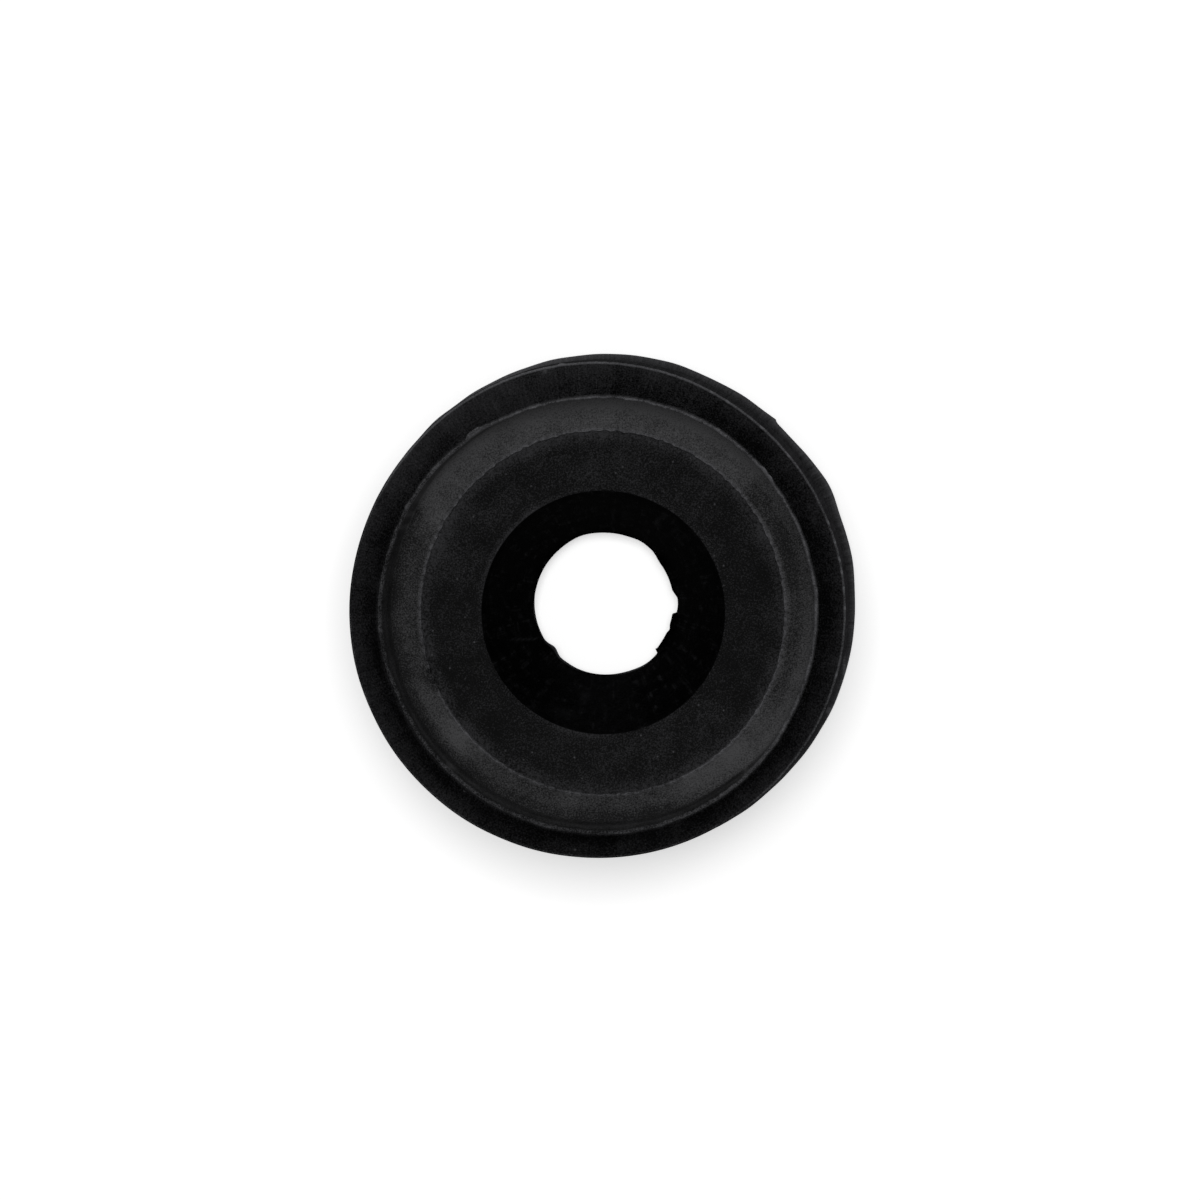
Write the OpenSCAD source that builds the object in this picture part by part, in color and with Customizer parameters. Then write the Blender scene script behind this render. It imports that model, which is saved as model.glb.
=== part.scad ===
// Round rubber grommet: two flanges with a panel groove between them, a thin raised
// sealing lip on the upper flange, and a recessed front that runs down through a
// funnel to the cable hole. It is one moulded piece of black rubber and stands on the
// flat face of its lower flange.

/* [Lower flange] */
// Diameter of the lower flange, the widest part of the grommet
lower_flange_d = 25.4; // [22:0.1:32]
// Thickness of the lower flange
lower_flange_t = 2.0; // [1.4:0.1:3.5]

/* [Panel groove] */
// Diameter of the neck, which fills the hole in the panel
neck_d = 19.0; // [15:0.1:21]
// Width of the groove, which takes the panel's edge
groove_w = 1.8; // [1.2:0.1:4]

/* [Upper flange] */
// Diameter of the upper flange
upper_flange_d = 25.0; // [22:0.1:32]
// Height of the upper flange's straight outer wall
upper_wall_h = 2.8; // [2.2:0.1:5]

/* [Sealing lip] */
// Width of the shoulder, from the flange's outer wall in to the lip
shoulder_w = 1.5; // [1:0.05:2.2]
// How far the shoulder turns from near flat at the wall to steep at the lip, in degrees
shoulder_turn = 45; // [10:5:60]
// Rise of the lip above the top of the flange's outer wall
lip_rise = 1.3; // [0.6:0.1:2.5]
// Width of the lip's top
lip_w = 0.15; // [0.1:0.05:0.4]

/* [Recess] */
// Depth of the recess floor below the top of the lip
recess_depth = 2.6; // [1.8:0.1:3.2]
// Lean of the recess wall, from the top of the lip in to its foot
recess_lean = 0.15; // [0:0.05:0.4]
// Width of the recess floor, from the foot of the wall in to the parting edge
floor_w = 1.5; // [1:0.1:2.2]
// Rise of the floor from the wall to the parting edge
floor_rise = 0.3; // [0:0.05:0.8]
// Step down from the parting edge to the inner ring
parting_step = 0.12; // [0.05:0.01:0.3]
// Fall of the inner ring from the parting edge to the funnel's mouth
ring_fall = 0.23; // [0.05:0.01:0.6]

/* [Cable hole] */
// Diameter of the funnel's mouth
mouth_d = 12.3; // [10:0.1:15]
// Diameter of the cable hole
hole_d = 7.2; // [4:0.1:9.5]
// Length of the cable hole's straight wall, at the bottom of the funnel
hole_len = 1.1; // [0.6:0.1:1.8]

/* [Rounding] */
// Radius of the flanges' outer edges
edge_r = 0.35; // [0.1:0.05:0.5]
// Radius in the corners of the groove
groove_r = 0.3; // [0.1:0.05:0.5]
// Radius at the foot of the recess wall
recess_r = 0.3; // [0.1:0.05:0.8]

/* [Hidden] */

// Sides of a full turn, and straight pieces along each curve of the section
turn_sides = 128;
corner_steps = 6;
shoulder_steps = 8;
// How far a cut runs past the face that it opens
past = 1;

// Distances from the axis
lower_x = lower_flange_d / 2;
neck_x = neck_d / 2;
upper_x = upper_flange_d / 2;
lip_x = upper_x - shoulder_w;
recess_x = lip_x - lip_w - recess_lean;
parting_x = recess_x - floor_w;
mouth_x = mouth_d / 2;

// Heights above the table
groove_z = lower_flange_t;
upper_z = groove_z + groove_w;
wall_top_z = upper_z + upper_wall_h;
lip_z = wall_top_z + lip_rise;
floor_z = lip_z - recess_depth;
parting_z = floor_z + floor_rise;
ring_z = parting_z - parting_step;
mouth_z = ring_z - ring_fall;

// Points of an arc of radius r about [x, z], from angle a to angle b
function arc(x, z, r, a, b, steps) =
    [for (i = [0:steps]) let (t = a + (b - a) * i / steps) [x + r * cos(t), z + r * sin(t)]];

// Points of a hollow curve from p to q that turns by the given angle on its way
function hollow_curve(p, q, turn, steps) =
    let (
        heading = atan2(q[1] - p[1], q[0] - p[0]),
        r = norm(q - p) / 2 / sin(turn / 2),
        to_centre = heading + turn / 2 - 90,
        centre = p + r * [cos(to_centre), sin(to_centre)]
    )
    arc(centre[0], centre[1], r, to_centre + 180, to_centre + 180 - turn, steps);

// Outer side of the section, from the table up to the lip
function outer_side() = concat(
    arc(lower_x - edge_r, edge_r, edge_r, -90, 0, corner_steps),
    arc(lower_x - edge_r, groove_z - edge_r, edge_r, 0, 90, corner_steps),
    arc(neck_x + groove_r, groove_z + groove_r, groove_r, 270, 180, corner_steps),
    arc(neck_x + groove_r, upper_z - groove_r, groove_r, 180, 90, corner_steps),
    arc(upper_x - edge_r, upper_z + edge_r, edge_r, -90, 0, corner_steps),
    hollow_curve([upper_x, wall_top_z], [lip_x, lip_z], shoulder_turn, shoulder_steps)
);

// Inner side of the section, from the lip down to the funnel's mouth
function inner_side() = concat(
    [[lip_x - lip_w, lip_z]],
    arc(recess_x - recess_r, floor_z + recess_r, recess_r, 0, -90, corner_steps),
    [[parting_x, parting_z], [parting_x, ring_z], [mouth_x, mouth_z]]
);

// Flanges, neck, lip and recess as one turned body, solid at the axis
module flanged_body() {
    rotate_extrude($fn = turn_sides)
        polygon(concat([[0, 0]], outer_side(), inner_side(), [[0, mouth_z]]));
}

// Funnel from the straight wall of the hole up through its mouth
module funnel() {
    funnel_h = mouth_z - hole_len;
    widening = (mouth_d - hole_d) / funnel_h;
    translate([0, 0, hole_len])
        cylinder(h = funnel_h + past, d1 = hole_d, d2 = mouth_d + widening * past, $fn = turn_sides);
}

// Straight wall of the cable hole
module cable_hole() {
    translate([0, 0, -past])
        cylinder(h = hole_len + 2 * past, d = hole_d, $fn = turn_sides);
}

module grommet() {
    color([0.07, 0.07, 0.075])
        difference() {
            flanged_body();
            funnel();
            cable_hole();
        }
}

grommet();
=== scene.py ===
import math
import random

import bpy
import numpy as np
from mathutils import Matrix, Vector


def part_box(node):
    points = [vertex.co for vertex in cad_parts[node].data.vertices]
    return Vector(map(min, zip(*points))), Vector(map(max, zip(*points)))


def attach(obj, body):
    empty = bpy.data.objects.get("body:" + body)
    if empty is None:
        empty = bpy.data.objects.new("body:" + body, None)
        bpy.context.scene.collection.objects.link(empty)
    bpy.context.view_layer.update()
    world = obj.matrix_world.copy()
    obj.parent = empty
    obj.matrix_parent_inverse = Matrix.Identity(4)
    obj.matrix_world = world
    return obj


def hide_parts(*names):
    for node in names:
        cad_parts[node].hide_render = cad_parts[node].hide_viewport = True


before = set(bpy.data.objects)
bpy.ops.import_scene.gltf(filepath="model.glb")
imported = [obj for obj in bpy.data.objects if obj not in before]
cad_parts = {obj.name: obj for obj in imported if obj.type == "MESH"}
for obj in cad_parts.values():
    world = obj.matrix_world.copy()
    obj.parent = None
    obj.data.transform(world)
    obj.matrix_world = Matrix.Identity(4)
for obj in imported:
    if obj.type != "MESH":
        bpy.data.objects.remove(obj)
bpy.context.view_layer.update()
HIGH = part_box("grommet")[1]

bl_info = {
    "name": "Rubber grommet",
    "version": (1, 0, 0),
    "blender": (4, 5, 0),
    "location": "View3D > Sidebar > Grommet",
    "description": "Moulded rubber grommet with its flash, trimming marks and finishes",
    "category": "Object",
}

MM = 0.001
MERGE = 0.002 * MM

# Sockets of a Mix node that carry colour: its two inputs and its output
COLOUR_A, COLOUR_B, COLOUR_OUT = 6, 7, 2

# Heights in millimetres that tell the lower flange, the upper flange and the recess apart
LOWER_TOP = 2.3
UPPER_BOTTOM = 3.7
RECESS_BOTTOM = 5.0

# Stage: size of the table in metres, its even glow, and the light from all round
TABLE_SIZE = 1.2
TABLE_GLOW = 0.50
ROOM_LIGHT = 0.19


# ---------------------------------------------------------------- colours and nodes

def linear(code):
    """Linear colour of an sRGB hex code."""
    parts = [int(code[i:i + 2], 16) / 255 for i in (1, 3, 5)]
    return [c / 12.92 if c <= 0.04045 else ((c + 0.055) / 1.055) ** 2.4 for c in parts]


def add_node(tree, kind, settings=None, links=None):
    """Adds a node, sets its fields and inputs, and links inputs from (node, output) pairs."""
    node = tree.nodes.new(kind)
    for field, value in (settings or {}).items():
        if isinstance(field, str) and hasattr(node, field):
            setattr(node, field, value)
        else:
            node.inputs[field].default_value = value
    for socket, (source, output) in (links or {}).items():
        tree.links.new(source.outputs[output], node.inputs[socket])
    return node


# ---------------------------------------------------------------- settings

class GrommetSizes(bpy.types.PropertyGroup):
    """Sizes of the moulding, in metres. The overall ones come from the loaded frame."""

    lower_radius: bpy.props.FloatProperty(
        name="Lower flange radius", description="Radius of the lower flange",
        default=HIGH.x, unit="LENGTH", precision=5)
    height: bpy.props.FloatProperty(
        name="Height", description="Height from the table to the top of the lip",
        default=HIGH.z, unit="LENGTH", precision=5)
    lower_thickness: bpy.props.FloatProperty(
        name="Lower flange thickness", description="Thickness of the lower flange",
        default=2.0 * MM, unit="LENGTH", precision=5)
    groove_width: bpy.props.FloatProperty(
        name="Groove width", description="Width of the panel groove",
        default=1.8 * MM, unit="LENGTH", precision=5)
    neck_radius: bpy.props.FloatProperty(
        name="Neck radius", description="Radius of the neck in the groove",
        default=9.5 * MM, unit="LENGTH", precision=5)
    upper_radius: bpy.props.FloatProperty(
        name="Upper flange radius", description="Radius of the upper flange",
        default=12.5 * MM, unit="LENGTH", precision=5)
    upper_wall: bpy.props.FloatProperty(
        name="Upper flange wall", description="Height of the upper flange's straight wall",
        default=2.8 * MM, unit="LENGTH", precision=5)
    lip_radius: bpy.props.FloatProperty(
        name="Lip radius", description="Radius of the sealing lip's outer edge",
        default=11.0 * MM, unit="LENGTH", precision=5)
    lip_width: bpy.props.FloatProperty(
        name="Lip width", description="Width of the lip's top",
        default=0.15 * MM, unit="LENGTH", precision=5)
    flash_height: bpy.props.FloatProperty(
        name="Flash height", description="How far the thin flash stands above the lip",
        default=0.08 * MM, unit="LENGTH", precision=5)
    floor_depth: bpy.props.FloatProperty(
        name="Recess depth", description="Depth of the recess floor below the lip",
        default=2.6 * MM, unit="LENGTH", precision=5)
    floor_rise: bpy.props.FloatProperty(
        name="Floor rise", description="Rise of the floor up to the parting edge",
        default=0.3 * MM, unit="LENGTH", precision=5)
    parting_radius: bpy.props.FloatProperty(
        name="Parting radius", description="Radius of the parting edge on the recess floor",
        default=9.2 * MM, unit="LENGTH", precision=5)
    parting_step: bpy.props.FloatProperty(
        name="Parting step", description="Step down from the parting edge to the inner ring",
        default=0.12 * MM, unit="LENGTH", precision=5)
    mouth_radius: bpy.props.FloatProperty(
        name="Mouth radius", description="Radius of the funnel's mouth",
        default=6.15 * MM, unit="LENGTH", precision=5)
    mouth_height: bpy.props.FloatProperty(
        name="Mouth height", description="Height of the funnel's mouth above the table",
        default=5.25 * MM, unit="LENGTH", precision=5)
    hole_radius: bpy.props.FloatProperty(
        name="Hole radius", description="Radius of the cable hole at its torn edge",
        default=3.6 * MM, unit="LENGTH", precision=5)
    hole_length: bpy.props.FloatProperty(
        name="Hole length", description="Length of the hole's straight wall",
        default=1.1 * MM, unit="LENGTH", precision=5)
    edge_round: bpy.props.FloatProperty(
        name="Edge rounding", description="Radius of the flanges' outer edges",
        default=0.35 * MM, unit="LENGTH", precision=5)
    corner_round: bpy.props.FloatProperty(
        name="Corner rounding", description="Radius in the groove and at the recess wall's foot",
        default=0.3 * MM, unit="LENGTH", precision=5)
    segments: bpy.props.IntProperty(
        name="Segments", description="Steps of the full turn",
        default=760, min=64, max=1200)


class GrommetColours(bpy.types.PropertyGroup):
    """Colours of the rubber's finishes and of the stage."""

    turned: bpy.props.FloatVectorProperty(
        name="Turned faces", description="Flange walls, shoulder, groove and base",
        default=linear("#1d1d1e"), subtype="COLOR", size=3, min=0, max=1)
    eroded: bpy.props.FloatVectorProperty(
        name="Recess floor", description="Fine-grained floor inside the lip",
        default=linear("#343435"), subtype="COLOR", size=3, min=0, max=1)
    smooth: bpy.props.FloatVectorProperty(
        name="Inner ring", description="Smoother ring and funnel",
        default=linear("#141415"), subtype="COLOR", size=3, min=0, max=1)
    # The flash colour's pale end carries painted light on the side of the flash that catches the light, as
    # well as its pale chips
    flash: bpy.props.FloatVectorProperty(
        name="Flash", description="Thin torn edges, paler with bloom",
        default=linear("#404042"), subtype="COLOR", size=3, min=0, max=1)
    floor: bpy.props.FloatVectorProperty(
        name="Table", description="Plain pale table under the grommet",
        default=linear("#f2f2f2"), subtype="COLOR", size=3, min=0, max=1)


# ---------------------------------------------------------------- the section

def line(p, q, steps):
    """Points from p towards q, without q."""
    return [Vector(p).lerp(Vector(q), i / steps) for i in range(steps)]


def arc(centre, radius, start, end, steps):
    """Points of an arc in the section's plane, angles in degrees, both ends included."""
    angles = [math.radians(start + (end - start) * i / steps) for i in range(steps + 1)]
    return [Vector((centre[0] + radius * math.cos(t), centre[1] + radius * math.sin(t)))
            for t in angles]


def around(x, z, offsets):
    """Points at (outward, upward) offsets, in millimetres, from a place on the section."""
    return [Vector((x + dx * MM, z + dz * MM)) for dx, dz in offsets]


def hollow_curve(p, q, turn, steps):
    """Points from p to q along a curve that turns by the given degrees, without q."""
    p, q = Vector(p), Vector(q)
    heading = math.degrees(math.atan2(q.y - p.y, q.x - p.x))
    radius = (q - p).length / 2 / math.sin(math.radians(turn / 2))
    to_centre = heading + turn / 2 - 90
    away = math.radians(to_centre)
    centre = p + radius * Vector((math.cos(away), math.sin(away)))
    return arc(centre, radius, to_centre + 180, to_centre + 180 - turn, steps)[:-1]


def lower_side(s):
    """Section from the foot of the hole, over the base and round both flanges to the wall's top."""
    # The rim is kept back a little, so that its uneven edge stays inside the overall size
    lower_x = s.lower_radius - 0.03 * MM
    top = s.lower_thickness
    under = top + s.groove_width
    e, c = s.edge_round, s.corner_round
    foot = (s.hole_radius + 0.12 * MM, 0)
    return (
        line(foot, (lower_x - e, 0), 5)
        + arc((lower_x - e, e), e, -90, 0, 4)
        + line((lower_x, e + 0.3 * MM), (lower_x, top - e), 4)
        + arc((lower_x - e, top - e), e, 0, 90, 4)
        + line((lower_x - e - 0.3 * MM, top), (s.neck_radius + c, top), 3)
        + arc((s.neck_radius + c, top + c), c, 270, 180, 3)
        + arc((s.neck_radius + c, under - c), c, 180, 90, 3)
        + line((s.neck_radius + c + 0.6 * MM, under), (s.upper_radius - e, under), 2)
        + arc((s.upper_radius - e, under + e), e, -90, 0, 3)
        + line((s.upper_radius, under + e + 0.4 * MM), (s.upper_radius, under + s.upper_wall - 0.24 * MM), 4)
    )


def flange_edge(s):
    """Rounded top of the flange's wall and the small flash ridge where the shoulder starts."""
    x, z = s.upper_radius, s.lower_thickness + s.groove_width + s.upper_wall
    return around(x, z, ((0.0, -0.24), (-0.008, -0.10), (-0.025, -0.035), (-0.04, 0.01),
                         (-0.065, 0.028), (-0.095, 0.03), (-0.125, 0.028), (-0.17, 0.04)))


def lip_top(s):
    """Rounded crest of the lip, from its outer edge in to its inner edge."""
    x, z, w = s.lip_radius, s.height - s.flash_height, s.lip_width
    return [Vector((x - share * w, z + dz * MM)) for share, dz in
            ((-0.15, -0.10), (0.0, -0.03), (0.2, 0.0), (0.5, 0.01), (0.8, -0.02),
             (1.0, -0.10), (1.05, -0.22))]


def recess(s):
    """Recess wall, its rounded foot and the floor up to the parting edge."""
    floor_z = s.height - s.floor_depth
    wall_top = (s.lip_radius - 1.07 * s.lip_width, s.height - s.flash_height - 0.3 * MM)
    foot_x = s.lip_radius - s.lip_width - 0.17 * MM
    c = s.corner_round
    return (
        line(wall_top, (foot_x, floor_z + c), 5)
        + arc((foot_x - c, floor_z + c), c, 0, -90, 4)
        + line((foot_x - c - 0.12 * MM, floor_z + 0.03 * MM),
               (s.parting_radius + 0.1 * MM, floor_z + s.floor_rise - 0.03 * MM), 9)
    )


def parting_edge(s):
    """Low flash ridge on the recess floor and the step down behind it."""
    x, z = s.parting_radius, s.height - s.floor_depth + s.floor_rise
    step = s.parting_step / MM
    return around(x, z, ((0.1, -0.02), (0.06, 0.0), (0.03, 0.02), (-0.02, 0.015),
                         (-0.04, -0.03), (-0.06, -step), (-0.12, -step)))


def inner_side(s):
    """Inner ring, mouth, funnel and the torn edge and wall of the hole."""
    ring_start = (s.parting_radius - 0.25 * MM,
                  s.height - s.floor_depth + s.floor_rise - s.parting_step)
    x, z = s.mouth_radius, s.mouth_height
    mouth = around(x, z, ((0.1, 0.01), (0.05, 0.02), (0.02, 0.015), (0.0, 0.0),
                          (-0.02, -0.04), (-0.05, -0.1)))
    torn_z = s.hole_length
    torn = around(s.hole_radius, torn_z,
                  ((0.1, 0.08), (0.05, 0.03), (0.02, 0.0), (0.0, -0.04), (0.0, -0.1),
                   (0.02, -0.15), (0.06, -0.2), (0.08, -0.3)))
    foot = (s.hole_radius + 0.08 * MM, 0.05 * MM)
    return (
        line(ring_start, (x + 0.12 * MM, z + 0.01 * MM), 13)
        + mouth
        + line((x - 0.15 * MM, z - 0.25 * MM), (s.hole_radius + 0.14 * MM, torn_z + 0.15 * MM), 10)
        + torn
        + line((s.hole_radius + 0.08 * MM, torn_z - 0.45 * MM), foot, 2)
        + [Vector(foot)]
    )


def section(s):
    """Whole closed section of the moulding, as (distance from the axis, height) points."""
    wall_top = s.lower_thickness + s.groove_width + s.upper_wall
    shoulder = hollow_curve((s.upper_radius - 0.23 * MM, wall_top + 0.06 * MM),
                            (s.lip_radius + 0.03 * MM, s.height - s.flash_height - 0.12 * MM),
                            turn=42, steps=10)
    return (lower_side(s) + flange_edge(s) + shoulder + lip_top(s) + recess(s)
            + parting_edge(s) + inner_side(s))


def turn_section(points, steps):
    """Draws the section from a single point, closes it and turns it round the axis."""
    bpy.ops.object.select_all(action="DESELECT")
    start = Vector((points[0].x, 0, points[0].y))
    bpy.ops.mesh.primitive_plane_add(size=0.1 * MM, location=start)
    piece = bpy.context.object
    bpy.ops.object.transform_apply(location=True, rotation=True, scale=True)
    bpy.ops.object.mode_set(mode="EDIT")
    bpy.ops.mesh.select_all(action="SELECT")
    bpy.ops.mesh.merge(type="CENTER")
    bpy.context.tool_settings.mesh_select_mode = (True, False, False)
    for a, b in zip(points, points[1:] + points[:1]):
        step = (b.x - a.x, 0, b.y - a.y)
        bpy.ops.mesh.extrude_vertices_move(TRANSFORM_OT_translate={"value": step})
    bpy.ops.mesh.select_all(action="SELECT")
    bpy.ops.mesh.remove_doubles(threshold=MERGE)
    bpy.ops.object.mode_set(mode="OBJECT")
    turn = piece.modifiers.new("Turn", "SCREW")
    turn.axis = "Z"
    turn.steps = steps
    turn.render_steps = steps
    turn.use_merge_vertices = True
    turn.merge_threshold = MERGE
    bpy.ops.object.modifier_apply(modifier=turn.name)
    bpy.ops.object.mode_set(mode="EDIT")
    bpy.ops.mesh.select_all(action="SELECT")
    bpy.ops.mesh.normals_make_consistent(inside=False)
    bpy.ops.object.mode_set(mode="OBJECT")
    return piece


# ---------------------------------------------------------------- marks of the mould

class Edges:
    """Edges that the marks and finishes go by, as (distance from the axis, height) in millimetres."""

    def __init__(self, s):
        self.flange = (s.upper_radius / MM, (s.lower_thickness + s.groove_width + s.upper_wall) / MM)
        self.lip = (s.lip_radius / MM, (s.height - s.flash_height) / MM)
        self.parting = (s.parting_radius / MM, (s.height - s.floor_depth + s.floor_rise) / MM)
        self.mouth = (s.mouth_radius / MM, s.mouth_height / MM)
        self.hole = (s.hole_radius / MM, s.hole_length / MM)


class Points:
    """The piece's points as distances from the axis, heights (both in millimetres) and degrees."""

    def __init__(self, mesh):
        flat = np.empty(len(mesh.vertices) * 3)
        mesh.vertices.foreach_get("co", flat)
        x, y, z = flat.reshape(-1, 3).T / MM
        self.mesh = mesh
        self.r = np.hypot(x, y)
        self.z = z.copy()
        self.angle = np.degrees(np.arctan2(y, x)) % 360
        self.drift = np.zeros((2, len(x)))

    def write(self):
        """Puts the points back on the mesh."""
        turn = np.radians(self.angle)
        x = self.r * np.cos(turn) + self.drift[0]
        y = self.r * np.sin(turn) + self.drift[1]
        flat = np.column_stack((x, y, self.z)).ravel() * MM
        self.mesh.vertices.foreach_set("co", flat)
        self.mesh.update()


def off(angle, middle):
    """Signed degrees from a middle direction, between -180 and 180."""
    return (angle - middle + 180) % 360 - 180


def bell(angle, middle, width):
    """Soft bump round one direction."""
    return np.exp(-(off(angle, middle) / width) ** 2)


def stretch(angle, start, end, soft):
    """1 between two directions and 0 outside them, with soft ends."""
    middle, half = (start + end) / 2, (end - start) / 2
    return 1 / (1 + np.exp((np.abs(off(angle, middle)) - half) / soft))


def ramp(value, low, high):
    """0 below low, 1 above high, and smooth between."""
    t = np.clip((value - low) / (high - low), 0, 1)
    return t * t * (3 - 2 * t)


def uneven(angle, seed, coarse, fine, waves=28):
    """Uneven wave round the ring that closes on itself, mostly between -1 and 1."""
    draw = random.Random(seed)
    total = np.zeros_like(angle)
    for _ in range(waves):
        total += np.cos(np.radians(angle * draw.randint(coarse, fine) + draw.uniform(0, 360)))
    return total / math.sqrt(waves)


def beads(angle, seed, coarse, fine):
    """Sparse small beads round the ring, 0 between them and about 1 at their tops."""
    between = 0.45
    return np.clip(uneven(angle, seed, coarse, fine) - between, 0, None)


def near(p, r, z, width):
    """Share of a ridge at (r, z): 1 on it and 0 a few widths away."""
    return np.exp(-((p.r - r) ** 2 + (p.z - z) ** 2) / width ** 2)


def shift_front_mould(p):
    """The front half of the mould sits a little off the rear half, ring by ring."""
    rings = (3.5, 6.1, 9.2, 10.4, 11.0, 12.3)
    across = (-0.02, 0.17, 0.16, 0.16, 0.12, 0.0)
    along = (0.03, -0.22, -0.21, -0.07, -0.15, 0.0)
    funnel_side = 8.0
    front = (ramp(p.z, 4.6, 5.2) * (p.r > funnel_side)
             + ramp(p.z, 1.0, 5.2) * (p.r <= funnel_side))
    p.drift[0] += np.interp(p.r, rings, across) * front
    p.drift[1] += np.interp(p.r, rings, along) * front


def mark_lower_flange(p):
    """Gate stub, trimmed flat and small tooth on the lower flange's rim."""
    a = p.angle
    rim = ramp(p.r, 11.2, 12.2) * (p.z < LOWER_TOP)
    gate_stub = 0.17 * bell(a, 29, 7) + 0.05 * bell(a, 12, 6)
    past_tooth = off(a, 47.3)
    tooth = np.exp(-np.abs(past_tooth) / np.where(past_tooth > 0, 6, 0.5))
    p.r += rim * (gate_stub + 0.11 * tooth - 0.06 * bell(a, 50, 15) - 0.04 * bell(a, 64, 7)
                  - 0.05 * bell(a, 121, 13) - 0.04 * bell(a, 314, 9)
                  + 0.012 * uneven(a, 11, 5, 40))


def mark_flange_edge(p, edge):
    """Uneven flash along the upper flange's outer edge, on a wall slightly out of round."""
    a = p.angle
    ridge = near(p, edge[0] - 0.08, edge[1], 0.06)
    trimmed = 0.35 + 0.65 * stretch(a, -52, 118, 3)
    lift = trimmed * (0.010 * uneven(a, 21, 40, 220) + 0.025 * beads(a, 22, 60, 260))
    burr = 0.09 * bell(a, 98.5, 0.7) + 0.04 * bell(a, 21, 0.6)
    flat = 0.09 * bell(a, 50, 27) * ramp(p.r, 11.9, 12.3) * (p.z > 6.2)
    p.r += ridge * (lift + burr) - flat
    p.z += ridge * (lift + burr) * 0.6
    wall = ramp(p.r, 12.0, 12.4) * (p.z > UPPER_BOTTOM)
    out_of_round = (-0.05 * bell(a, 145, 24) - 0.04 * bell(a, 303, 16)
                    + 0.07 * bell(a, 225, 50) + 0.035 * bell(a, 186, 16))
    p.r += wall * (out_of_round + 0.008 * uneven(a, 23, 3, 24))


def lip_wander(angle):
    """How far the lip strays from its circle, in millimetres, from kink to kink round the ring."""
    kinks = (0, 38, 42, 62, 74, 95, 120, 140, 166, 182, 190, 200, 250, 276, 302, 325, 331, 350, 360)
    stray = (-0.06, -0.07, 0.0, 0.0, -0.08, -0.14, -0.14, -0.09, -0.08, 0.06, 0.06, -0.04, 0.01,
             0.08, 0.05, -0.02, -0.11, -0.10, -0.06)
    return np.interp(angle, kinks, stray)


def mark_lip(p, lip):
    """Ragged flash on the lip, with a torn flap that ends in a burr, and a wall hollowed below."""
    a = p.angle
    lip_r, lip_z = lip
    crest = near(p, lip_r - 0.06, lip_z, 0.17)
    body = np.exp(-((p.r - lip_r) / 0.28) ** 2) * ramp(p.z, lip_z - 1.4, lip_z - 0.1)
    past_burr = off(a, 126.3)
    flap = ramp(past_burr, -10, -0.4) * ramp(-past_burr, -1.3, 0.2)
    knots = (0.13 * stretch(a, 37, 42, 0.3) + 0.09 * bell(a, 57, 0.8) + 0.08 * bell(a, 6, 1.5)
             + 0.05 * bell(a, 24, 1.0) + 0.05 * bell(a, 86, 1.2) + 0.06 * bell(a, 151, 1.0)
             + 0.06 * bell(a, 184.5, 1.6))
    p.r += body * (0.11 * stretch(a, 117, 176, 4) + lip_wander(a) + 0.014 * uneven(a, 34, 12, 60))
    p.r += crest * (0.2 * flap + knots + 0.022 * uneven(a, 33, 40, 240))
    p.z += crest * (0.012 * uneven(a, 31, 30, 160) + 0.03 * beads(a, 32, 50, 220)
                    + 0.04 * flap - 0.03)
    below = ramp(p.r, 10.1, 10.6) * (p.r < 10.92) * ramp(lip_z - 0.2 - p.z, 0, 0.6)
    hollow = np.maximum(stretch(a, -47, 128, 3), stretch(a, 100, 148, 5))
    p.r += 0.14 * below * (p.z > RECESS_BOTTOM) * hollow


def mark_parting_edge(p, edge):
    """Beaded flash along the parting edge, worn away in two places and doubled in one."""
    a = p.angle
    ridge = near(p, *edge, 0.06)
    kept = np.clip(1 - 0.9 * bell(a, 203, 5) - 0.9 * bell(a, 285, 4), 0, 1)
    lift = 0.02 + 0.018 * uneven(a, 41, 40, 200) + 0.06 * beads(a, 42, 60, 240)
    p.z += ridge * lift * kept
    ragged = near(p, *edge, 0.12)
    p.r += ragged * (0.035 * uneven(a, 43, 24, 150) - 0.05 * bell(a, 285, 3))
    second = near(p, edge[0] + 0.17, edge[1] - 0.02, 0.07) * stretch(a, -24, 24, 3)
    p.z += second * (0.03 + 0.02 * uneven(a, 44, 40, 180))
    p.z += near(p, edge[0] + 0.45, edge[1] - 0.08, 0.12) * 0.08 * bell(a, 353, 0.9)


def mark_floor(p):
    """Slight waves in the recess floor and the inner ring."""
    level = ramp(p.z, RECESS_BOTTOM, 5.2) * ramp(-p.z, -5.9, -5.7)
    flat = level * ramp(p.r, 6.3, 6.6) * ramp(-p.r, -10.5, -10.2)
    p.z += flat * (0.008 * uneven(p.angle, 51, 4, 30) * np.sin(p.r * 2.1)
                   + 0.006 * uneven(p.angle, 52, 20, 90) * np.sin(p.r * 7.3 + 1))


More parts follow.
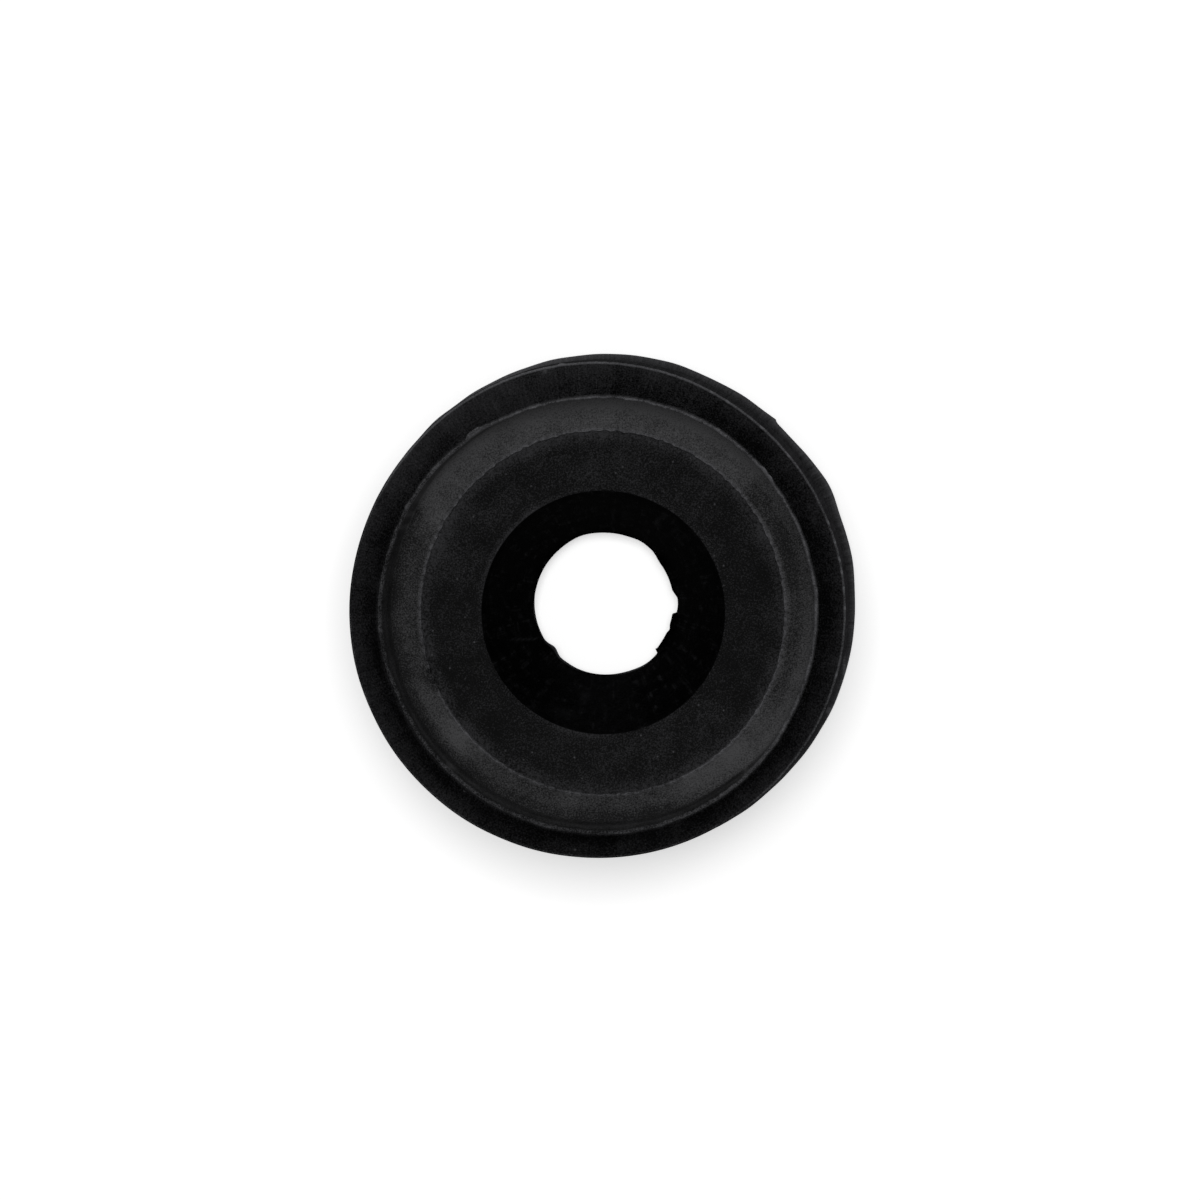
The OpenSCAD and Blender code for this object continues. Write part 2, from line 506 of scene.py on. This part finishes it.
def tear_hole(p, hole):
    """Torn flash round the cable hole: a clean notch, two flat stubs and a low bump."""
    a = p.angle
    hole_r, hole_z = hole
    edge = (np.exp(-((p.r - hole_r) / 0.16) ** 2) * ramp(p.z, hole_z - 0.3, hole_z - 0.1)
            * ramp(-p.z, -hole_z - 0.5, -hole_z - 0.1))
    flat = ramp(off(a, 5), 0, 8) * ramp(-off(a, 47), -3, 11)
    outline = (
        0.045 * bell(a, 60, 8) + 0.055 * bell(a, 110, 13) + 0.085 * bell(a, 188, 12)
        + 0.07 * bell(a, 306, 13) - 0.135 * flat + 0.04 * bell(a, 1, 7)
        - 0.165 * stretch(a, 317.3, 352.5, 0.25) + 0.07 * bell(a, 338.5, 2.6)
        + 0.045 * stretch(a, -7, 6, 0.4) - 0.20 * bell(a, 221, 6.5) - 0.03 * bell(a, 236, 8)
        - 0.05 * bell(a, 318.2, 0.7)
    )
    p.r += edge * (outline + 0.0015 * uneven(a, 61, 20, 120))


# ---------------------------------------------------------------- paleness: painted light and shade, and pale
# patches and marks
def shoulder_painted_light_and_speck(p):
    """Painted light and shade on the shoulder: dark by the steep lip, paler out to its edge and most round
    120 degrees, with a paler strip by the lip from 172 to 312 degrees and a pale speck at the flange's edge.
    """
    a = p.angle
    # Painted shade by the steep lip and painted light out to the edge
    by_lip = 0.022 + 0.11 * bell(a, 114, 38)
    by_edge = (0.13 + 0.12 * bell(a, 126, 46) + 0.03 * bell(a, 225, 28) + 0.03 * bell(a, 320, 18)
               - 0.03 * bell(a, 268, 28))
    speck = bell(a, 102.5, 0.5) * ramp(p.r, 12.1, 12.25)
    soft_lip = 0.16 * np.exp(-((p.r - 11.06) / 0.09) ** 2) * stretch(a, 172, 312, 5)
    return by_lip + (by_edge - by_lip) * np.clip((p.r - 11.4) / 0.9, 0, 1) + 0.5 * speck + soft_lip


def lower_flange_highlights_and_curls(p):
    """Paler rim with two thin curls of flash lying across it at 335 and 345 degrees, and painted highlights
    along its outer edge from 6 to 49 degrees and on its top from 92 to 142 degrees.
    """
    a = p.angle
    curl = np.exp(-((off(a, 345.5) - (12.58 - p.r) * 14) / 0.8) ** 2) + bell(a, 335, 0.6)
    # Painted highlights on the rim's outer edge from 6 to 49 degrees and on its top from 92 to 142 degrees;
    # the curls are the rim's own
    return (0.35 + 0.06 * bell(a, 70, 30) + 0.04 * bell(a, 352, 20)
            + (0.14 + 0.18 * stretch(a, 6, 49, 3)) * ramp(p.r, 12.5, 12.66)
            + (0.3 * stretch(a, 92, 142, 4) + 0.6 * stretch(a, 110, 142, 5)) * ramp(p.r, 12.3, 12.5)
            + 0.09 * stretch(a, 4, 50, 3) * uneven(a, 80, 90, 330) - 0.05 * bell(a, 40, 8)
            + 0.9 * curl * ramp(p.r, 12.2, 12.4) * ramp(p.z, 1.5, 1.8))


def floor_patches_and_painted_light(p):
    """Paler and darker patches on the recess floor, two rubbed smears by the parting edge, a paler second
    flash line, and painted light and shade at the foot of the wall.
    """
    a = p.angle
    patches = (
        0.35 + 0.20 * stretch(a, 40.5, 152, 0.4) + 0.09 * bell(a, 97, 32)
        + 0.43 * bell(a, 218, 14) * ramp(-p.r, -10.6, -10.0) + 0.54 * bell(a, 310, 17)
        - 0.27 * bell(a, 15, 29) - 0.11 * bell(a, 180, 20) + 0.04 * uneven(a, 71, 3, 24))
    smears = (bell(a, 203, 4) + 0.9 * bell(a, 285, 2.5)) * ramp(-p.r, -9.9, -9.2)
    open_side = stretch(a, -46, 148, 3)
    broken = stretch(a, 30, 62, 4) + stretch(a, 68, 92, 4)
    doubled = stretch(a, -24, 24, 3) + 0.8 * broken * beads(a, 77, 20, 90)
    second = near(p, 9.37, 5.57, 0.1) * doubled
    # Painted light at the wall's foot on the open side, against the shadow under the lip, and painted shade
    # there round the other side
    foot = ((0.36 + 0.44 * bell(a, 68, 34) - 0.3 * bell(a, 316, 14)) * open_side * ramp(p.r, 9.9, 10.5)
            - (0.25 + 0.15 * bell(a, 290, 30)) * (1 - open_side) * ramp(p.r, 10.0, 10.55))
    return patches - 0.3 * smears + 0.35 * second + foot


def wall_painted_light_and_rags(p):
    """The recess wall is painted lighter against its shade, most on its open side and from 114 to 154
    degrees, and left darker round the other side, with rags of flash, a paler band at 6.9 mm and two pale
    spots.
    """
    a = p.angle
    open_side = stretch(a, -46, 118, 3)
    rags = np.clip(uneven(a, 73, 20, 120), -0.3, None) * stretch(a, 118, 168, 4)
    ledge = 0.3 * np.exp(-((p.z - 6.9) / 0.3) ** 2) * stretch(a, 186, 312, 6)
    # Painted light on the open side and from 114 to 154 degrees; the rags of flash are the wall's own
    return (0.18 + 0.72 * open_side + 0.3 * rags + 0.8 * stretch(a, 114, 154, 5) + ledge
            + 0.5 * bell(a, 226, 1.2) * ramp(p.z, 6.3, 6.8) + 0.7 * bell(a, 312.5, 0.6))


def ring_paleness(p, mouth):
    """The inner ring is dull, paler towards the parting edge and along the funnel's mouth."""
    a = p.angle
    rim = np.exp(-((p.r - mouth - 0.05) / 0.08) ** 2)
    # A paler line along the funnel's mouth, strongest from 114 to 172 and 238 to 274 degrees
    pale_rim = (0.01 + 0.62 * stretch(a, 114, 172, 5) + 0.20 * bell(a, 62, 18) + 0.2 * bell(a, 182, 8)
                + 0.38 * stretch(a, 238, 274, 5) + 0.25 * bell(a, 306, 10))
    patches = (0.13 - 0.20 * bell(a, 355, 28) - 0.20 * bell(a, 204, 36) + 0.05 * bell(a, 80, 60)
               + 0.12 * bell(a, 157, 9) * ramp(p.r, 7.8, 8.6) + 0.03 * uneven(a, 72, 3, 30))
    by_parting = 0.34 + 0.24 * bell(a, 112, 60) + 0.22 * bell(a, 212, 30) + 0.1 * bell(a, 0, 25)
    return patches + by_parting * ramp(p.r, 8.3, 9.1) + rim * pale_rim


def funnel_marks_and_painted_light(p):
    """The funnel is bare and nearly black, with a few rubbed places, a scratch and smears, and painted light
    on its lower side, which faces the lamp.
    """
    a = p.angle
    streaks = np.clip(uneven(a, 81, 12, 70), 0, 1.2)
    ripple = 0.6 + 0.4 * np.sin(9 * p.r + 4 * uneven(a, 82, 5, 20))
    rubbed = streaks * ripple * (
        stretch(a, 42, 66, 3) * np.exp(-((p.r - 5.35) / 0.45) ** 2)
        + 0.8 * bell(a, 80, 6) * np.exp(-((p.r - 4.6) / 0.6) ** 2)
        + 0.8 * bell(a, 325, 7) * np.exp(-((p.r - 4.4) / 0.4) ** 2))
    scratch = np.exp(-((off(a, 199.3) - 7.5 * (4.94 - p.r)) / 0.7) ** 2)
    smears = (0.7 * bell(a, 258, 3) * np.exp(-((p.r - 4.7) / 0.2) ** 2)
              + 0.5 * bell(a, 250, 6) * np.exp(-((p.r - 5.6) / 0.15) ** 2))
    # The 0.032 round 270 degrees is painted light on the funnel's lower side, which faces the lamp
    return (0.0015 + 0.032 * bell(a, 270, 32) + 0.17 * rubbed + 0.13 * smears
            + 0.15 * scratch * ramp(p.r, 3.8, 3.9) * ramp(-p.r, -5.0, -4.8))


def flash_painted_light_and_chips(p):
    """Torn flash is painted paler from -40 to 130 degrees, on the side that catches the light, and darker
    round the other side, with chips and nicks of its own and two worn, dull places on the parting edge.
    """
    a = p.angle
    nicks = sum(bell(a, spot, 0.5) for spot in (6, 38.5, 41, 57, 112, 126, 151, 161, 172, 184.5))
    # Painted light: paler on the side that catches the light, darker round the other side
    on_lip = ((0.33 * stretch(a, -36, 127, 3) + 0.14 * bell(a, 142, 12) + 0.20)
              * (1 + 0.22 * uneven(a, 75, 14, 70) + 0.16 * uneven(a, 78, 80, 300)) + 0.25 * nicks
              + 0.18 * bell(a, 312, 14) + 0.06 * bell(a, 288, 12) + 0.06 * bell(a, 0, 8)
              - 0.10 * bell(a, 166, 14) - 0.08 * bell(a, 195, 8))
    chips = sum(bell(a, spot, 0.4) for spot in (0.5, 5, 9, 12, 16, 21, 39, 48, 58, 62.5, 98.5, 345))
    by_chips = (0.28 + 0.22 * bell(a, 96, 26) - 0.05 * bell(a, 15, 20) + 0.16 * bell(a, 54, 26)
                + 0.7 * chips)
    on_edge = stretch(a, -50, 112, 3) * by_chips + 0.55 * stretch(a, 104, 152, 5) + 0.10
    worn = bell(a, 200, 7) + 0.8 * bell(a, 285, 4)
    # On the parting edge, painted light round 90 degrees, where the edge catches the lamp; the worn places
    # are real
    on_parting = (0.56 + 0.12 * bell(a, 90, 50) + 0.26 * bell(a, 312, 22) + 0.16 * bell(a, 224, 16)
                  - 0.08 * bell(a, 263, 16) - 0.10 * bell(a, 150, 9) - 0.45 * worn
                  + 0.08 * uneven(a, 76, 20, 130) + 0.12 * uneven(a, 79, 90, 320))
    edge_side, lip_side = 11.8, 10.2
    return np.where(p.r > edge_side, on_edge, np.where(p.r > lip_side, on_lip, on_parting))


def torn_edge_painted_light(p):
    """Painted light on two stretches of the hole's torn edge, where light falls on it."""
    return 0.45 * stretch(p.angle, 214, 245, 4) + 0.6 * stretch(p.angle, 283, 306, 3)


def bloom_and_painted_light(p, edges):
    """How pale the surface is, from 0 to 1, by the part of the section that a point is on. It holds painted
    light and shade as well as pale patches and marks of the rubber itself.
    """
    (flange_r, flange_z), (lip_r, lip_z), (part_r, part_z) = edges.flange, edges.lip, edges.parting
    (mouth_r, mouth_z), (hole_r, hole_z) = edges.mouth, edges.hole
    plain, on_wall = 0.17, 0.21
    values = np.full(len(p.r), plain)
    flange_wall = (p.r > 12.0) & (p.z > UPPER_BOTTOM) & (p.z < flange_z + 0.01)
    inside = (p.r < lip_r - 0.1) & (p.z > RECESS_BOTTOM)
    flash = (
        ((p.r > lip_r - 0.14) & (p.r < lip_r + 0.04) & (p.z > lip_z - 0.12))
        | ((np.abs(p.r - flange_r + 0.083) < 0.045) & (np.abs(p.z - flange_z) < 0.05))
        | ((p.r > part_r - 0.08) & (p.r < part_r + 0.11) & (np.abs(p.z - part_z + 0.05) < 0.12)))
    # Where two parts share points, the later one holds
    parts = (
        ((p.r > 12.1) & (p.z < LOWER_TOP), lower_flange_highlights_and_curls(p)),
        ((p.r > lip_r) & (p.z > flange_z), shoulder_painted_light_and_speck(p)),
        (flange_wall, np.full(len(p.r), on_wall)),
        (inside, floor_patches_and_painted_light(p)),
        (inside & (p.r > lip_r - 0.4), wall_painted_light_and_rags(p)),
        ((p.r < part_r - 0.03) & (p.r > mouth_r - 0.01) & (p.z > RECESS_BOTTOM), ring_paleness(p, mouth_r)),
        ((p.r < mouth_r) & (p.z < mouth_z - 0.01), funnel_marks_and_painted_light(p)),
        ((p.r < hole_r + 0.08) & (p.z > hole_z - 0.2), torn_edge_painted_light(p)),
        (flash, flash_painted_light_and_chips(p)),
    )
    for where, shades in parts:
        values[where] = shades[where]
    return np.clip(values, 0, 1)


# ---------------------------------------------------------------- finishes

def rubber_base(name, colour, pale, grain, grain_share, rough, gloss):
    """Black rubber: a dark colour that painted light and shade and pale patches make paler, broken up by
    grain and mottle.

    grain is the size of the grain in millimetres. The true grain, of about 0.03 mm, is too fine
    to show, so it is drawn about 0.08 mm coarse. Returns the material, its tree, the shader,
    the object coordinates and the grain."""
    made = bpy.data.materials.new(name)
    made.use_nodes = True
    tree = made.node_tree
    tree.nodes.clear()
    place = add_node(tree, "ShaderNodeTexCoord")
    # The stored paleness holds painted light and shade as well as the rubber's own pale patches
    pale_and_lit = add_node(tree, "ShaderNodeAttribute", {"attribute_name": "bloom_and_painted_light"})
    fine = add_node(tree, "ShaderNodeTexNoise",
                    {"Scale": 1 / (grain * MM), "Detail": 3.0, "Roughness": 0.7},
                    {"Vector": (place, "Object")})
    mottle = add_node(tree, "ShaderNodeTexNoise",
                      {"Scale": 1 / (1.5 * MM), "Detail": 4.0, "Roughness": 0.6},
                      {"Vector": (place, "Object")})
    speckle = add_node(tree, "ShaderNodeMapRange",
                       {"clamp": False, "From Min": 0.3, "From Max": 0.7,
                        "To Min": -grain_share, "To Max": grain_share},
                       {"Value": (fine, "Fac")})
    drift = add_node(tree, "ShaderNodeMapRange",
                     {"clamp": False, "From Min": 0.3, "From Max": 0.7,
                      "To Min": -0.3 * grain_share, "To Max": 0.3 * grain_share},
                     {"Value": (mottle, "Fac")})
    sum_a = add_node(tree, "ShaderNodeMath", {"operation": "ADD"},
                     {0: (pale_and_lit, "Fac"), 1: (speckle, "Result")})
    sum_b = add_node(tree, "ShaderNodeMath", {"operation": "ADD", "use_clamp": True},
                     {0: (sum_a, "Value"), 1: (drift, "Result")})
    tint = add_node(tree, "ShaderNodeMix",
                    {"data_type": "RGBA", COLOUR_A: (*colour, 1), COLOUR_B: (*pale, 1)},
                    {0: (sum_b, "Value")})
    shader = add_node(tree, "ShaderNodeBsdfPrincipled",
                      {"Roughness": rough, "Specular IOR Level": gloss, "IOR": 1.52},
                      {"Base Color": (tint, COLOUR_OUT)})
    add_node(tree, "ShaderNodeOutputMaterial", {}, {"Surface": (shader, "BSDF")})
    return made, tree, shader, place, fine


def add_relief(tree, shader, pattern, depth, strength):
    """Bump of the given depth in millimetres, drawn by a noise, on a finish."""
    relief = add_node(tree, "ShaderNodeBump", {"Strength": strength, "Distance": depth * MM},
                      {"Height": (pattern, "Fac")})
    tree.links.new(relief.outputs["Normal"], shader.inputs["Normal"])


def lay_over(tree, shader, shape, choice, pale):
    """Lays a paler colour over the finish, where both the shape and the choice let it."""
    both = add_node(tree, "ShaderNodeMath", {"operation": "MULTIPLY"},
                    {0: (shape, "Result"), 1: (choice, "Result")})
    under = shader.inputs["Base Color"].links[0].from_socket
    covered = add_node(tree, "ShaderNodeMix", {"data_type": "RGBA", COLOUR_B: (*pale, 1)},
                       {0: (both, "Value")})
    tree.links.new(under, covered.inputs[COLOUR_A])
    tree.links.new(covered.outputs[COLOUR_OUT], shader.inputs["Base Color"])


def add_dust(tree, shader, place, spacing, size, share, pale):
    """Scattered specks of dust, paler than the rubber. Sizes in millimetres."""
    cells = add_node(tree, "ShaderNodeTexVoronoi", {"Scale": 1 / (spacing * MM)},
                     {"Vector": (place, "Object")})
    speck = add_node(tree, "ShaderNodeMapRange",
                     {"From Min": size / spacing, "From Max": 0.3 * size / spacing},
                     {"Value": (cells, "Distance")})
    number = add_node(tree, "ShaderNodeSeparateColor", {}, {"Color": (cells, "Color")})
    chosen = add_node(tree, "ShaderNodeMapRange", {"From Min": 1 - share, "From Max": 1.0},
                      {"Value": (number, "Red")})
    lay_over(tree, shader, speck, chosen, pale)


def add_hairlines(tree, place, count):
    """Noise that changes only round the axis, so that it draws lines up walls and down slopes."""
    level = add_node(tree, "ShaderNodeVectorMath", {"operation": "MULTIPLY", 1: (1, 1, 0)},
                     {0: (place, "Object")})
    way = add_node(tree, "ShaderNodeVectorMath", {"operation": "NORMALIZE"}, {0: (level, "Vector")})
    return add_node(tree, "ShaderNodeTexNoise", {"Scale": count, "Detail": 3.0, "Roughness": 0.7},
                    {"Vector": (way, "Vector")})


def add_scuffs(tree, shader, place, pale):
    """Broken, paler scuffs drawn down a slope, in patches of about half a millimetre."""
    hairs = add_hairlines(tree, place, count=20.0)
    drawn = add_node(tree, "ShaderNodeMapRange",
                     {"From Min": 0.47, "From Max": 0.66, "To Min": 0.12}, {"Value": (hairs, "Fac")})
    cloud = add_node(tree, "ShaderNodeTexNoise",
                     {"Scale": 1 / (0.6 * MM), "Detail": 4.0, "Roughness": 0.7},
                     {"Vector": (place, "Object")})
    patches = add_node(tree, "ShaderNodeMapRange", {"From Min": 0.5, "From Max": 0.68},
                       {"Value": (cloud, "Fac")})
    lay_over(tree, shader, drawn, patches, pale)


def times(colour, factor):
    """A colour made darker or brighter by a factor."""
    return [c * factor for c in colour]


def turned_rubber(c):
    """Rubber off a turned mould face: matt black, with fine drag lines up its walls."""
    made, tree, shader, place, _ = rubber_base(
        "Rubber moulded on turned steel", times(c.turned, 0.1), times(c.turned, 6.0),
        grain=0.075, grain_share=0.19, rough=0.6, gloss=0.0)
    # The rubber drags over the steel as it leaves the mould, up the walls and over the shoulder
    hairs = add_hairlines(tree, place, count=110.0)
    add_relief(tree, shader, hairs, depth=0.02, strength=0.35)
    shade = add_node(tree, "ShaderNodeMapRange",
                     {"clamp": False, "From Min": 0.3, "From Max": 0.7, "To Min": 0.7, "To Max": 1.3},
                     {"Value": (hairs, "Fac")})
    under = shader.inputs["Base Color"].links[0].from_socket
    streaked = add_node(tree, "ShaderNodeVectorMath", {"operation": "SCALE"}, {"Scale": (shade, "Result")})
    tree.links.new(under, streaked.inputs[0])
    tree.links.new(streaked.outputs["Vector"], shader.inputs["Base Color"])
    add_dust(tree, shader, place, spacing=1.1, size=0.09, share=0.3, pale=c.flash)
    return made


def eroded_rubber(c):
    """Rubber off a spark-eroded mould face: fine even grain that scatters light and reads grey."""
    made, tree, shader, place, fine = rubber_base(
        "Rubber moulded on eroded steel", times(c.eroded, 0.3), times(c.eroded, 2.4),
        grain=0.075, grain_share=0.6, rough=0.9, gloss=0.08)
    add_relief(tree, shader, fine, depth=0.02, strength=0.6)
    add_dust(tree, shader, place, spacing=0.9, size=0.07, share=0.25, pale=c.flash)
    return made


def smooth_rubber(c):
    """Rubber off a smoother insert: darker, a little mottled, with specks of dust."""
    made, tree, shader, place, fine = rubber_base(
        "Rubber moulded on polished steel", times(c.smooth, 0.25), times(c.smooth, 4.5),
        grain=0.08, grain_share=0.75, rough=0.7, gloss=0.07)
    add_relief(tree, shader, fine, depth=0.015, strength=0.4)
    add_dust(tree, shader, place, spacing=0.42, size=0.065, share=0.5, pale=times(c.flash, 1.5))
    return made


def deep_shaded_rubber(c):
    """Rubber in the funnel: the inner ring's colour made nearly black, as painted shade for the funnel's
    depth, with a few drawn-out scuffs down its slope.
    """
    made, tree, shader, place, fine = rubber_base(
        "Rubber moulded on a drawn pin, darkened as painted shade", times(c.smooth, 0.02), times(c.smooth, 9.0),
        grain=0.09, grain_share=0.035, rough=0.6, gloss=0.002)
    add_relief(tree, shader, fine, depth=0.01, strength=0.3)
    add_scuffs(tree, shader, place, pale=times(c.smooth, 1.9))
    return made


def flash_rubber(c):
    """Torn flash: thin rough rubber, painted paler where it catches the light and paler at its chips, so that
    it reads as a pale line.
    """
    made, tree, shader, _, fine = rubber_base(
        "Rubber flash torn at the parting", times(c.flash, 0.12), times(c.flash, 2.2),
        grain=0.08, grain_share=0.42, rough=0.8, gloss=0.06)
    add_relief(tree, shader, fine, depth=0.03, strength=0.7)
    return made


# ---------------------------------------------------------------- the piece

def colour_zones(mesh, edges, c):
    """Gives each band of the section the finish of the mould face that it was formed on, and darkens the
    funnel's finish as painted shade.
    """
    finishes = (turned_rubber, eroded_rubber, smooth_rubber, deep_shaded_rubber, flash_rubber)
    for finish in finishes:
        mesh.materials.append(finish(c))
    turned, eroded, smooth, deep, flash = range(len(finishes))
    centres = np.empty(len(mesh.polygons) * 3)
    mesh.polygons.foreach_get("center", centres)
    x, y, z = centres.reshape(-1, 3).T / MM
    r = np.hypot(x, y)
    (flange_r, flange_z), (lip_r, lip_z), (part_r, part_z) = edges.flange, edges.lip, edges.parting
    mouth_r, mouth_z = edges.mouth
    band = np.full(len(r), turned)
    inside = (z > RECESS_BOTTOM) & (r < lip_r - 0.12)
    band[inside & (r > part_r)] = eroded
    band[inside & (r <= part_r)] = smooth
    # The base, at height 0, keeps the turned finish up to the hole
    band[(r < mouth_r) & (z > 0.01) & (z < mouth_z)] = deep
    band[(r > lip_r - 0.14) & (r < lip_r + 0.03) & (z > lip_z - 0.12)] = flash
    band[(np.abs(r - flange_r + 0.08) < 0.035) & (np.abs(z - flange_z) < 0.05)] = flash
    band[(r > part_r - 0.08) & (r < part_r + 0.09) & (np.abs(z - part_z + 0.05) < 0.12)] = flash
    mesh.polygons.foreach_set("material_index", band.astype(np.int32))


def set_bloom_and_painted_light(mesh, values):
    """Stores the paleness, painted light and shade included, on the mesh's points, where the finishes read
    it.
    """
    layer = mesh.attributes.new("bloom_and_painted_light", "FLOAT", "POINT")
    layer.data.foreach_set("value", values.astype(np.float32))


class GROMMET_OT_moulding(bpy.types.Operator):
    """Makes the grommet: turns its section, adds the mould's marks and gives it its finishes"""

    bl_idname = "grommet.moulding"
    bl_label = "Moulding"
    bl_options = {"REGISTER", "UNDO"}

    def execute(self, context):
        s, c = context.scene.grommet_sizes, context.scene.grommet_colours
        piece = turn_section(section(s), s.segments)
        piece.name = "grommet_moulding"
        piece.data.name = "grommet_moulding"
        edges = Edges(s)
        colour_zones(piece.data, edges, c)
        p = Points(piece.data)
        set_bloom_and_painted_light(piece.data, bloom_and_painted_light(p, edges))
        tear_hole(p, edges.hole)
        mark_floor(p)
        mark_parting_edge(p, edges.parting)
        mark_lip(p, edges.lip)
        mark_flange_edge(p, edges.flange)
        mark_lower_flange(p)
        shift_front_mould(p)
        # No bead or burr stands above the overall height
        p.z = np.minimum(p.z, s.height / MM)
        p.write()
        bpy.ops.object.select_all(action="DESELECT")
        piece.select_set(True)
        context.view_layer.objects.active = piece
        bpy.ops.object.shade_smooth_by_angle(angle=math.radians(45))
        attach(piece, "root")
        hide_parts("grommet")
        return {"FINISHED"}


# ---------------------------------------------------------------- the stage

def add_camera(lean, towards, aim, distance, width):
    """Camera that looks down at aim, leaning from straight above by the given degrees."""
    lens = bpy.data.cameras.new("Camera")
    lens.sensor_width = 36.0
    lens.lens = lens.sensor_width * distance / width
    lens.clip_start = 0.01
    lens.clip_end = 10.0
    camera = bpy.data.objects.new("Camera", lens)
    bpy.context.scene.collection.objects.link(camera)
    tilt, way = math.radians(lean), math.radians(towards)
    back = Vector((math.sin(tilt) * math.cos(way), math.sin(tilt) * math.sin(way), math.cos(tilt)))
    right = Vector((0, 1, 0)).cross(back).normalized()
    up = back.cross(right)
    turn = Matrix((right, up, back)).transposed().to_4x4()
    camera.matrix_world = Matrix.Translation(Vector(aim) + back * distance) @ turn
    bpy.context.scene.camera = camera


def add_soft_light(name, place, aim, size, power):
    """Square soft light that faces aim."""
    data = bpy.data.lights.new(name, "AREA")
    data.shape = "SQUARE"
    data.size = size
    data.energy = power
    light = bpy.data.objects.new(name, data)
    bpy.context.scene.collection.objects.link(light)
    way = Vector(aim) - Vector(place)
    light.matrix_world = Matrix.Translation(Vector(place)) @ way.to_track_quat("-Z", "Y").to_matrix().to_4x4()


class GROMMET_OT_stage(bpy.types.Operator):
    """Adds the pale table, the soft light and the camera"""

    bl_idname = "grommet.stage"
    bl_label = "Stage"
    bl_options = {"REGISTER", "UNDO"}

    def execute(self, context):
        c = context.scene.grommet_colours
        bpy.ops.object.select_all(action="DESELECT")
        bpy.ops.mesh.primitive_plane_add(size=TABLE_SIZE, location=(0, 0, 0))
        table = context.object
        table.name = "Table"
        paper = bpy.data.materials.new("Pale paper sweep")
        paper.use_nodes = True
        shader = paper.node_tree.nodes["Principled BSDF"]
        shader.inputs["Base Color"].default_value = (*c.floor, 1)
        shader.inputs["Roughness"].default_value = 0.9
        shader.inputs["Specular IOR Level"].default_value = 0.0
        shader.inputs["Emission Color"].default_value = (1, 1, 1, 1)
        shader.inputs["Emission Strength"].default_value = TABLE_GLOW
        table.data.materials.append(paper)
        world = bpy.data.worlds.new("Studio")
        world.use_nodes = True
        room = world.node_tree.nodes["Background"]
        room.inputs["Color"].default_value = (1, 1, 1, 1)
        room.inputs["Strength"].default_value = ROOM_LIGHT
        context.scene.world = world
        add_soft_light("Key light", place=(0.014, 0.080, 0.42), aim=(0, 0, 0), size=0.24, power=0.95)
        add_camera(lean=5.0, towards=38.0, aim=(0, 0.4 * MM, 5 * MM), distance=0.5, width=60.45 * MM)
        context.scene.view_settings.view_transform = "Standard"
        return {"FINISHED"}


class GROMMET_PT_panel(bpy.types.Panel):
    """Lists the settings and the steps that build the grommet"""

    bl_idname = "GROMMET_PT_panel"
    bl_label = "Rubber grommet"
    bl_space_type = "VIEW_3D"
    bl_region_type = "UI"
    bl_category = "Grommet"

    def draw(self, context):
        layout = self.layout
        for group in (context.scene.grommet_sizes, context.scene.grommet_colours):
            box = layout.box()
            for field in group.__annotations__:
                box.prop(group, field)
        for step in STEPS:
            layout.operator(step.bl_idname)


STEPS = (GROMMET_OT_moulding, GROMMET_OT_stage)
CLASSES = (GrommetSizes, GrommetColours, *STEPS, GROMMET_PT_panel)


def register():
    """Registers the classes and hangs the settings on the scene."""
    for each in CLASSES:
        bpy.utils.register_class(each)
    bpy.types.Scene.grommet_sizes = bpy.props.PointerProperty(type=GrommetSizes)
    bpy.types.Scene.grommet_colours = bpy.props.PointerProperty(type=GrommetColours)


def unregister():
    """Takes the settings and the classes away again."""
    del bpy.types.Scene.grommet_colours
    del bpy.types.Scene.grommet_sizes
    for each in reversed(CLASSES):
        bpy.utils.unregister_class(each)


def main():
    """Builds the grommet and its stage."""
    register()
    bpy.ops.grommet.moulding()
    bpy.ops.grommet.stage()


if __name__ == "__main__":
    main()
